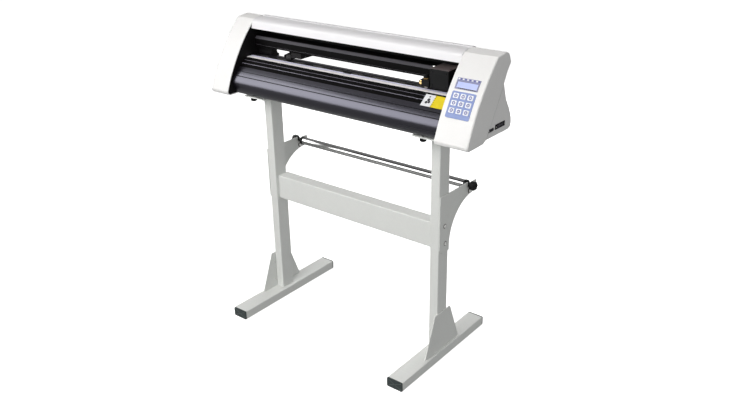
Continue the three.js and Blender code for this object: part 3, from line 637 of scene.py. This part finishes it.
def grooved(points, grooves):
    """A run of points with grooves let into its left side; each groove is (distance, width, depth)."""
    reach = [0.0]
    for (ax, ay), (bx, by) in zip(points, points[1:]):
        reach.append(reach[-1] + math.hypot(bx - ax, by - ay))
    marks = [(d, point) for d, point in zip(reach, points)
             if not any(abs(d - at) <= width * 0.55 for at, width, _ in grooves)]
    for at, width, depth in grooves:
        for step, sink in ((-0.5, 0), (-0.35, depth), (0.35, depth), (0.5, 0)):
            (x, y), (nx, ny) = polyline_point(points, at + step * width)
            marks.append((at + step * width, (x + nx * sink, y + ny * sink)))
    return [point for _, point in sorted(marks)]


def distance_to_run(points, spot):
    """How far a point lies from a run of points."""
    nearest = []
    for a, b in zip(points, points[1:]):
        a, along = Vector(a), Vector(b) - Vector(a)
        share = min(max((spot - a).dot(along) / along.length_squared, 0), 1)
        nearest.append((a + along * share - spot).length)
    return min(nearest)


def platen():
    """The bed: one extrusion with fine grooves along its apron and its nose."""
    low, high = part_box("platen")
    strip_low, strip_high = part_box("cutting_strip")
    gap = 0.3 * MM
    bed = high.z
    seat = strip_low.z - gap
    nose = Vector((0, low.y + NOSE_RADIUS, low.z + NOSE_RADIUS))
    apron_top = (strip_low.y - gap, bed)
    first, last, count = math.pi / 2 + APRON_SLOPE, 1.5 * math.pi, 48
    arc = [(nose.y + NOSE_RADIUS * math.cos(a), nose.z + NOSE_RADIUS * math.sin(a))
           for a in (first + (last - first) * i / count for i in range(count + 1))]
    run = math.dist(apron_top, arc[0])

    # The apron is flat to this share of its run, then curves into the nose
    flat, stop = 0.62, 17
    turn = (last - first) * stop / count
    start = Vector(apron_top).lerp(Vector(arc[0]), flat)
    meet = Vector(apron_top).lerp(Vector(arc[0]), 1 + NOSE_RADIUS * math.tan(turn / 2) / run)
    curve = [tuple(start.lerp(meet, t).lerp(meet.lerp(Vector(arc[stop]), t), t))
             for t in (i / 24 for i in range(24))]
    front = [apron_top, *curve, *arc[stop:]]
    grooves = [(run * share, width * MM, depth * MM) for share, width, depth in (
        (0.19, 1.0, 0.5), (0.4, 1.7, 0.5), (0.9, 1.7, 0.6), (1.17, 2.6, 0.6))]
    middle = 4 * MM
    trough, mouth = 13.5 * MM, 11.5 * MM
    axis_z = bed + 0.5 * MM - 11 * MM
    hollow = [(middle + trough * math.cos(a), axis_z + trough * math.sin(a))
              for a in (-math.pi * i / 24 for i in range(25))]
    lip = bed - 3 * MM
    outline = [
        (28 * MM, bed), (middle + mouth, bed), (middle + mouth, lip), (middle + trough, lip), *hollow,
        (middle - trough, lip), (middle - mouth, lip), (middle - mouth, bed),
        (strip_high.y + gap, bed), (strip_high.y + gap, seat), (strip_low.y - gap, seat),
        *grooved(front, grooves), (44 * MM, low.z), (high.y, low.z + 8 * MM),
        (high.y, bed - 26 * MM)]
    work = prism(outline, "X", low.x, high.x)
    for face in work.faces:
        # The .x and .y of this pair are the bench's y and z
        spot = face.calc_center_median().yz
        if face.normal.y > -0.1 or spot.x > apron_top[0]:
            continue
        on_flat = (spot - Vector(apron_top)).length < flat * run
        sunk = distance_to_run(front, spot) > 0.15 * MM
        # Groove faces on the flat take the painted highlight; the rest of the flat and the nose's
        # grooves take the duller black
        face.material_index = 2 if on_flat and sunk else int(on_flat or sunk)
    stand_for("platen", work, [LOOKS["black_anodised"], APRON, GROOVE_PAINTED_HIGHLIGHT], smooth=30)
    return [apron_top, arc[0]]


def bracket_wedge():
    """The foot of the rail's bracket, which follows the sloping back of the bed."""
    low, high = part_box("platen")
    bracket_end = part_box("left_side_plate")[1].x
    top = high.z + 0.8 * MM
    front, back = 30 * MM, high.y - 0.3 * MM
    outline = [(front, top), (back, top), (back, high.z - 25 * MM), (front, high.z - 1.5 * MM)]
    work = prism(outline, "X", low.x + 0.2 * MM, bracket_end)
    make("left_bracket_foot", work, "frame", "black_paint")


def apron_spot(front, share, lift):
    """A point on the sloping apron, from its top edge at 0 to the nose at 1, lifted off its face."""
    (ay, az), (by, bz) = front[0], front[1]
    length = math.hypot(by - ay, bz - az)
    out = Vector((0, (bz - az) / length, -(by - ay) / length))
    return Vector((0, ay + (by - ay) * share, az + (bz - az) * share)) + out * lift


def label(front):
    """A plain two-coloured sticker on the apron, beside the right-hand housing, with blots and dashes
    where such a sticker has its print."""
    lift, thick = 0.1 * MM, 0.25 * MM
    bottom, top = 0.70, 0.09
    parts = (("white", 288, 319, WHITE_LABEL), ("yellow", 319.2, 357, YELLOW_LABEL))
    for name, x0, x1, look in parts:
        lower, upper = (apron_spot(front, share, lift) for share in (bottom, top))
        outer = apron_spot(front, bottom, lift + thick) - lower
        outline = [(p.y, p.z) for p in (lower, upper, upper + outer, lower + outer)]
        make(f"{name}_label", prism(outline, "X", x0 * MM, x1 * MM), "frame", "white_plastic", look)
    out = apron_spot(front, 0, 1.0) - apron_spot(front, 0, 0.0)

    def mark(x, share, radius, sides):
        spot = apron_spot(front, share, lift + thick) + Vector((x * MM, 0, 0))
        return turned([(radius * MM, -0.05 * MM), (radius * MM, 0.12 * MM)], spot, out, sides)

    blots = [mark(301, 0.50, 4.4, 7), mark(305, 0.36, 5.0, 6), mark(309, 0.47, 4.2, 5),
             mark(304, 0.20, 2.6, 5)]
    make("label_mark", joined(*blots), "frame", "white_plastic", BLACK_INK)
    dashes = [mark(320.5, 0.14 + 0.1 * i, 1.6, 4) for i in range(6)]
    make("label_dashes", joined(*dashes), "frame", "white_plastic", BLACK_INK)


def bed():
    front = platen()
    label(front)
    bracket_wedge()
    rounded("cutting_strip", dict(radius=0.4 * MM))
    rounded("grit_roller", crisp(0.4), look=GRIT)
    low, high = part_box("cutting_strip")
    groove = high.z + 0.15 * MM
    ridge = block((low.x, low.y + 15.5 * MM, high.z - 0.2 * MM), (high.x, low.y + 16.6 * MM, groove),
                  0.1 * MM, 1)
    make("strip_ridge", ridge, "frame", "strip", ink("strip_line", (0.40, 0.40, 0.47)))
    sensor = soften(block((-20 * MM, high.y - 5 * MM, high.z),
                          (6 * MM, high.y + 2.5 * MM, high.z + 2 * MM), 0.6 * MM), 0.1 * MM, 1)
    make("media_sensor", sensor, "frame", "dark_plastic")


# ---------------------------------------------------------------- rail, carriage and tool


def rail_beam():
    """The rail, whose front chamfer is painted lighter as a painted highlight."""
    rail = cad_shape("rail_beam")
    for face in rail.faces:
        # The chamfer faces, which face front and up, take the painted highlight
        if face.normal.y < -0.3 and face.normal.z > 0.3:
            face.material_index = 1
    soften(rail, 0.8 * MM, along="X", turn=(20, 181), longer=0.3)
    stand_for("rail_beam", rail, [APRON, RAIL_CHAMFER_HIGHLIGHT])


def motion():
    rail_beam()
    carriage()
    for node in ("tool_clamp", "left_pinch_carrier", "right_pinch_carrier", "left_pinch_arm",
                 "right_pinch_arm"):
        rounded(node, dict(radius=0.7 * MM, turn=(40, 181)))
    for side, _ in SIDES:
        pinch_wheel(f"{side}_pinch_wheel")
    blade_holder()
    clamp_screw()


def carriage():
    """The carriage with its lid, whose lighter finish paints the light on its top, its screws and the
    seam of its cover.
    """
    rounded("carriage", dict(radius=1.4 * MM, segments=3, turn=(40, 181)))
    low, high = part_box("carriage")
    top = high.z
    inset = 0.6 * MM
    # A thin lid in a lighter black: painted light on the carriage's top, with worn edges
    lid = soften(block((low.x + inset, low.y + inset, top - 0.2 * MM),
                       (high.x - inset, high.y - inset, top + 0.8 * MM), 0.3 * MM), 0.05 * MM, 1)
    make("carriage_lid", lid, "carriage", "dark_plastic", LID_PAINTED_LIGHT)
    bolt("carriage_screw", (low.x + 0.2 * MM, low.y + 24 * MM, top - 0.4 * MM), (-1, 0, 0), 2.6 * MM,
         6 * MM, "carriage", look=ZINC)
    slot = turned([(3.4 * MM, 0), (3.4 * MM, 0.9 * MM), (2.8 * MM, 1.0 * MM)],
                  (high.x - 6 * MM, low.y + 20 * MM, top), (0, 0, 1))
    make("carriage_slot", slot, "carriage", "dark_plastic", BLACK_INK)
    for i, (x, z) in enumerate(((8, 8), (51, 8), (8, 44), (51, 44))):
        bolt(f"carriage_face_screw_{i + 1}", (low.x + x * MM, low.y, low.z + z * MM), (0, -1, 0),
             2.2 * MM, 1.3 * MM, "carriage", "dark_plastic")
    seam = block((low.x - 0.25 * MM, low.y + 3.2 * MM, low.z + 3 * MM),
                 (high.x + 0.25 * MM, low.y + 4.0 * MM, high.z - 3 * MM), 0.1 * MM, 1)
    make("carriage_seam", seam, "carriage", "dark_plastic", BLACK_INK)


def pinch_wheel(node):
    """A rubber tyre with four shallow grooves, on its pin."""
    low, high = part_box(node)
    centre = (low + high) / 2
    radius, half = (high.z - low.z) / 2, (high.x - low.x) / 2
    face = half - 5 * MM
    pin, shoulder, groove = 2 * MM, radius - 1.4 * MM, radius - 0.5 * MM
    steps = [(pin, -half), (pin, -face), (shoulder, -face), (radius - 0.4 * MM, -face + 0.5 * MM)]
    grooves = 4
    pitch = 2 * (face - 1.5 * MM) / grooves
    for i in range(grooves):
        start = -face + 1.5 * MM + i * pitch
        steps += [(radius, start), (radius, start + 0.78 * pitch),
                  (groove, start + 0.84 * pitch), (groove, start + 0.94 * pitch)]
    steps += [(radius, face - 1.4 * MM), (radius - 0.4 * MM, face - 0.5 * MM), (shoulder, face),
              (pin, face), (pin, half)]
    stand_for(node, turned(steps, centre, (1, 0, 0), sides=48))


def blade_holder():
    """Blade tip, ferrule, body and a knurled head."""
    low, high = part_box("blade_holder")
    middle = (low + high) / 2
    radius = (high.x - low.x) / 2
    foot = (middle.x, middle.y, low.z)
    length = high.z - low.z
    head = 13.5 * MM
    shaft = turned([(0.6 * MM, 0), (2.2 * MM, 1.4 * MM), (3.6 * MM, 1.9 * MM), (3.8 * MM, 2.4 * MM),
                    (3.8 * MM, 5 * MM), (5.2 * MM, 5.6 * MM), (5.5 * MM, 6.2 * MM),
                    (5.5 * MM, length - head), (radius - 0.4 * MM, length - head)], foot, (0, 0, 1))
    teeth, tooth = 28, 0.45 * MM
    outline = round_outline(middle, teeth * 2, lambda i: radius if i % 2 else radius - tooth)
    knurl = prism(outline, "Z", high.z - head + 0.3 * MM, high.z - 2.2 * MM)
    crown = turned([(radius - 0.5 * MM, length - 2.3 * MM), (radius - 0.6 * MM, length - 1.2 * MM),
                    (radius - 1.6 * MM, length), (2.4 * MM, length), (2.2 * MM, length - 1.5 * MM)],
                   foot, (0, 0, 1))
    stand_for("blade_holder", joined(shaft, knurl, crown))
    sleeve = turned([(radius + 0.1 * MM, length - 9.5 * MM), (radius + 0.5 * MM, length - 9 * MM),
                     (radius + 0.5 * MM, length + 0.3 * MM), (radius - 0.8 * MM, length + 0.8 * MM),
                     (2.2 * MM, length + 0.8 * MM), (2.2 * MM, length - 0.5 * MM),
                     (radius + 0.1 * MM, length - 1 * MM)], foot, (0, 0, 1), bore=True)
    make("blade_holder_sleeve", sleeve, "tool", "dark_plastic")
    ferrule = turned([(3.9 * MM, 2.0 * MM), (4.4 * MM, 2.4 * MM), (4.4 * MM, 5.2 * MM),
                      (3.9 * MM, 5.6 * MM)], foot, (0, 0, 1), bore=True)
    make("blade_ferrule", ferrule, "tool", "steel")


def clamp_screw():
    """The brass screw that grips the holder, with a knurled round head."""
    low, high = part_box("clamp_screw")
    middle = (low + high) / 2
    radius = (high.z - low.z) / 2
    head, teeth, tooth = 8.5 * MM, 24, 0.4 * MM
    outline = round_outline(middle.yz, teeth * 2, lambda i: radius if i % 2 else radius - tooth)
    knurl = prism(outline, "X", low.x + 0.9 * MM, low.x + head - 1.0 * MM)
    foot = (low.x, middle.y, middle.z)
    core = radius - 0.5 * MM
    ends = turned([(radius - 1.8 * MM, 0), (core, 1 * MM), (core, head - 1 * MM),
                   (radius - 0.9 * MM, head), (2 * MM, head), (2 * MM, high.x - low.x)],
                  foot, (1, 0, 0))
    stand_for("clamp_screw", joined(knurl, ends))


# ---------------------------------------------------------------- housings


def housings():
    bend = dict(radius=3 * MM, segments=3, along="X", turn=(9, 75))
    for side, sign in SIDES:
        rounded(f"{side}_cover", bend, crisp(0.4), smooth=50)
        rounded(f"{side}_rear_cover", bend, crisp(0.4), smooth=50)
        rounded(f"{side}_side_plate", crisp(0.4))
        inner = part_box("top_cover")[sign > 0].x
        for i, (y, z) in enumerate(((-6.5, 899), (-6.5, 879), (-118, 742), (-52, 860))):
            bolt(f"{side}_plate_screw_{i + 1}", (inner + sign * 0.3 * MM, y * MM, z * MM),
                 (-sign, 0, 0), 1.8 * MM, 1.0 * MM, look=LOOKS["dark_plastic"])
        end_closure(side, sign, inner)
    top_cover()


def end_closure(side, sign, inner):
    """A black plate that shuts the end of the top cover's channel, behind the rail."""
    low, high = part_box("top_cover")
    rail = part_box("rail_beam")[1].y
    near, far = sorted((inner - sign * 0.1 * MM, inner - sign * 1.1 * MM))
    plate = block((near, rail + 0.4 * MM, low.z + 0.5 * MM),
                  (far, high.y - 2.8 * MM, high.z - 38 * MM), 0.2 * MM, 1)
    make(f"{side}_end_closure", plate, "frame", "black_paint")


def top_cover():
    """The channel over the rail: white outside and black inside."""
    work = cad_shape("top_cover")
    soften(work, 1.2 * MM, 3, along="X", turn=(6, 70))
    soften(work, 0.4 * MM, 2, along="X", turn=(70, 181))
    low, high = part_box("top_cover")
    core = Vector((0, (low.y + high.y) / 2, high.z - 24 * MM))
    for face in work.faces:
        inward = core - face.calc_center_median()
        inward.x = 0
        if face.normal.dot(inward) > 0.1 * inward.length and face.normal.z < 0.5:
            face.material_index = 1
    stand_for("top_cover", work, [LOOKS["white_paint"], LOOKS["black_paint"]], smooth=50)


# ---------------------------------------------------------------- control panel


def facing(node):
    """The frame of a panel piece: its middle on the outer face, and the ways across, up and out."""
    mesh = frame["nodes"][node].data
    faces = [face for face in mesh.polygons
             if face.normal.y < -0.3 and face.normal.z > 0.1 and abs(face.normal.x) < 0.01]
    out = max(faces, key=lambda face: face.area).normal.copy()
    across = Vector((1, 0, 0))
    up = out.cross(across)
    spread = [(v.co.dot(across), v.co.dot(up), v.co.dot(out)) for v in mesh.vertices]
    sides = [(min(s), max(s)) for s in zip(*spread)]
    middle = across * sum(sides[0]) / 2 + up * sum(sides[1]) / 2 + out * sides[2][1]
    return Matrix((across, up, out)).transposed().to_4x4(), middle


def on_panel(work, turn, middle):
    """Moves a shape drawn flat, with +Z out of the panel, onto the panel."""
    work.transform(Matrix.Translation(middle) @ turn)
    work.normal_update()
    return work


def flat_ring(outer, inner, thick):
    return turned([(inner, 0), (outer, 0), (outer, thick), (inner, thick)], (0, 0, 0), (0, 0, 1),
                  sides=32, bore=True)


def arrow(angle, size, thick):
    """A plain triangle that points along `angle`."""
    points = [(size * math.cos(angle + t), size * math.sin(angle + t)) for t in (0, 2.3, -2.3)]
    return prism(points, "Z", 0, thick)


def key_mark(index, thick):
    """The inside of a key's ring: arrows on four keys, bars, a dot or a square on the others."""
    size = 1.5 * MM
    quarter = math.pi / 2
    arrows = {2: quarter, 4: 2 * quarter, 6: 0.0, 8: 3 * quarter}
    if index in arrows:
        return arrow(arrows[index], size, thick)
    if index in (1, 9):
        return block((-size, -0.5 * MM, 0), (size, 0.5 * MM, thick), 0.05 * MM, 1)
    if index in (3, 7):
        return turned([(size * 0.55, 0), (size * 0.55, thick)], (0, 0, 0), (0, 0, 1), 20)
    return block((-0.7 * size, -0.7 * size, 0), (0.7 * size, 0.7 * size, thick), 0.05 * MM, 1)


def control_panel():
    rounded("keypad_panel", crisp(0.25))
    print_thick = 0.14 * MM
    for i in range(1, 10):
        node = f"key_{i}"
        rounded(node, crisp(0.45, 3))
        turn, middle = facing(node)
        marks = joined(flat_ring(4.7 * MM, 2.3 * MM, print_thick), key_mark(i, print_thick))
        make(f"{node}_print", on_panel(marks, turn, middle), node, "blue_panel", BLUE_INK)
    display()


def display():
    """The display's bezel and glass, with indicator windows above it, ticks below and a painted shadow
    along the top of the glass.
    """
    rounded("display_module", crisp(0.3), look=BEZEL)
    turn, middle = facing("display_module")
    half_x, half_y, centre_y = 29.4 * MM, 9.4 * MM, -2 * MM
    glass = block((-half_x, centre_y - half_y, -1.1 * MM), (half_x, centre_y + half_y, -0.75 * MM),
                  0.15 * MM, 1)
    make("display_glass", on_panel(glass, turn, middle), "frame", "blue_panel", SCREEN)
    count, pitch = 10, 6.5 * MM
    for i in range(count):
        x = (i - (count - 1) / 2) * pitch
        look = WHITE_LABEL if i % 2 == 0 else BLUE_INK
        tab = block((x - 2.2 * MM, 9.8 * MM, -0.1 * MM), (x + 2.2 * MM, 13.6 * MM, 0.15 * MM),
                    0.1 * MM, 1)
        make(f"indicator_{i + 1}", on_panel(tab, turn, middle), "frame", "blue_panel", look)
    for i in range(9):
        x = (i - 3.6) * 6.0 * MM
        dash = block((x - 2.4 * MM, -14.4 * MM, -0.05 * MM), (x + 2.4 * MM, -11.9 * MM, 0.12 * MM),
                     0.05 * MM, 1)
        make(f"display_tick_{i + 1}", on_panel(dash, turn, middle), "frame", "blue_panel", BLACK_INK)
    # A strip in the bezel's colour over the top of the glass: a painted shadow
    shadow = block((-half_x, centre_y + half_y - 3.2 * MM, -0.85 * MM),
                   (half_x, centre_y + half_y, -0.6 * MM), 0.1 * MM, 1)
    make("display_painted_shadow", on_panel(shadow, turn, middle), "frame", "blue_panel", BEZEL)


# ---------------------------------------------------------------- electronics and drives


def electronics():
    """The boards and drives, mostly out of sight, and the connectors that show."""
    for node in ("carriage_motor", "feed_motor"):
        rounded(node, dict(radius=1.0 * MM, turn=(40, 181)))
    for node in ("motor_pulley", "idler_pulley", "feed_pinion"):
        rounded(node, crisp(0.2, 1))
    board = soften(cad_shape("main_board"), 0.3 * MM, 1, turn=(60, 181))
    for face in board.faces:
        face.material_index = int(face.calc_area() < 2000 * MM ** 2)
    stand_for("main_board", board, [LOOKS["circuit_board"], LOOKS["dark_plastic"]])
    ports()
    inlet()


def ports():
    """Two black connectors in the side of the rear cover, each on a flange held by two nuts."""
    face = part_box("right_rear_cover")[1].x
    for name, y, z, width, height in (("long", 29, 761, 49, 14), ("small", -17, 759, 26, 8)):
        half_y, half_z = width / 2 * MM, height / 2 * MM
        centre_y, centre_z = y * MM, z * MM
        flange = block((face - 3 * MM, centre_y - half_y, centre_z - half_z),
                       (face + 0.8 * MM, centre_y + half_y, centre_z + half_z), 0.6 * MM)
        make(f"{name}_port_flange", flange, "frame", "dark_plastic")
        half_y *= 0.72
        half_z *= 0.62
        slant = 1.6 * MM
        outline = [(centre_y - half_y, centre_z + half_z),
                   (centre_y - half_y + slant, centre_z - half_z),
                   (centre_y + half_y - slant, centre_z - half_z),
                   (centre_y + half_y, centre_z + half_z)]
        shell = soften(prism(outline, "X", face, face + 2.6 * MM), 0.8 * MM, 3, along="X")
        tip = max(shell.faces, key=lambda f: f.calc_center_median().x + f.normal.x)
        bmesh.ops.inset_region(shell, faces=[tip], thickness=0.6 * MM)
        bmesh.ops.inset_region(shell, faces=[tip], thickness=0.05 * MM, depth=-1.6 * MM)
        make(f"{name}_port_shell", shell, "frame", "dark_plastic", LOOKS["black_anodised"])
        for i, way in enumerate((-1, 1)):
            seat = (face + 0.7 * MM, centre_y + way * (half_y + 3.2 * MM), centre_z)
            nut = turned([(1.9 * MM, 0), (1.9 * MM, 1.6 * MM), (1.4 * MM, 2.0 * MM)], seat,
                         (1, 0, 0), sides=6)
            make(f"{name}_port_nut_{i + 1}", nut, "frame", "steel")


def inlet():
    """The mains inlet's three blades, and the rocker beside it."""
    rounded("power_socket", crisp(0.5))
    rounded("power_switch", dict(radius=0.5 * MM, turn=(20, 181)))
    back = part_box("power_socket")[1].y
    centre = Vector((422 * MM, back - 8 * MM, 757 * MM))
    for name, dx, dz in (("earth", 0, 2.6), ("live", -6.8, -2.2), ("neutral", 6.8, -2.2)):
        middle = centre + Vector((dx * MM, 0, dz * MM))
        blade = block(middle - Vector((1, 7.5, 2.4)) * MM, middle + Vector((1, 4, 2.4)) * MM, 0.4 * MM)
        make(f"inlet_{name}_blade", blade, "frame", "steel")


# ---------------------------------------------------------------- studio


def area_light(name, spot, target, width, height, power, colour=(1, 1, 1), glossy=True,
               diffuse=True):
    """A soft lamp aimed at a target. Without glossy or diffuse it lights only the other way."""
    data = bpy.data.lights.new(name, "AREA")
    data.shape = "RECTANGLE"
    data.size, data.size_y = width, height
    data.energy = power
    data.color = colour
    lamp = place(name, data)
    lamp.location = spot
    lamp.rotation_euler = (Vector(target) - Vector(spot)).to_track_quat("-Z", "Y").to_euler()
    lamp.visible_camera = False
    lamp.visible_glossy = glossy
    lamp.visible_diffuse = diffuse


def studio():
    """A white floor and room, soft keys in front, weak fills, and a lamp for highlights only."""
    reach = 200
    white = floor_white()
    for name, top in (("floor", -0.0003), ("room", reach)):
        shape = block((-reach, -reach, -0.05), (reach, reach, top), 0.001)
        mesh = bpy.data.meshes.new(name)
        shape.to_mesh(mesh)
        shape.free()
        mesh.materials.append(white)
        sweep = place(name, mesh)
        sweep.visible_diffuse = False
        sweep.visible_glossy = False
        sweep.visible_shadow = name == "floor"

    world = bpy.data.worlds.new("studio")
    world.use_nodes = True
    world.node_tree.nodes["Background"].inputs["Color"].default_value = (1.0, 1.0, 1.0, 1.0)
    world.node_tree.nodes["Background"].inputs["Strength"].default_value = 0.31
    bpy.context.scene.world = world

    head = (0, 0, 0.85)
    cool, warm = (0.975, 1.0, 0.975), (1.0, 0.955, 0.945)
    area_light("front_key", (0.3, -3.0, 2.1), head, 1.6, 1.2, 43, cool, glossy=False)
    area_light("left_key", (-0.6, -2.4, 2.7), head, 2.0, 1.2, 28, warm, glossy=False)
    area_light("top_key", (0.2, -1.6, 3.0), head, 1.8, 1.0, 9, warm, glossy=False)
    area_light("right_fill", (2.3, -0.2, 0.3), (0.3, 0, 0.45), 1.6, 0.6, 3.5, cool, glossy=False)
    area_light("rear_fill", (-0.8, 2.6, 1.3), (0, 0, 0.6), 2.0, 1.5, 40, glossy=False)
    area_light("highlight", (-1.5, -1.8, 1.85), head, 2.6, 2.2, 80, diffuse=False)
    bpy.context.scene.view_settings.view_transform = "Standard"


def camera():
    """The camera's place and its aim: the azimuth turns about +Z from looking along +Y."""
    spot = (1.4429, -1.7267, 1.4306)
    azimuth, elevation, roll = map(math.radians, (38.41, 23.90, -0.92))
    back = Vector((math.sin(azimuth) * math.cos(elevation), -math.cos(azimuth) * math.cos(elevation),
                   math.sin(elevation)))
    level = Vector((math.cos(azimuth), math.sin(azimuth), 0))
    upright = back.cross(level)
    right = level * math.cos(roll) + upright * math.sin(roll)
    data = bpy.data.cameras.new("camera")
    data.lens = 38.37
    eye = place("camera", data)
    turn = Matrix((right, back.cross(right), back)).transposed().to_4x4()
    eye.matrix_world = Matrix.Translation(spot) @ turn
    bpy.context.scene.camera = eye


camera()
stand()
media_roller()
bed()
motion()
housings()
control_panel()
electronics()
studio()
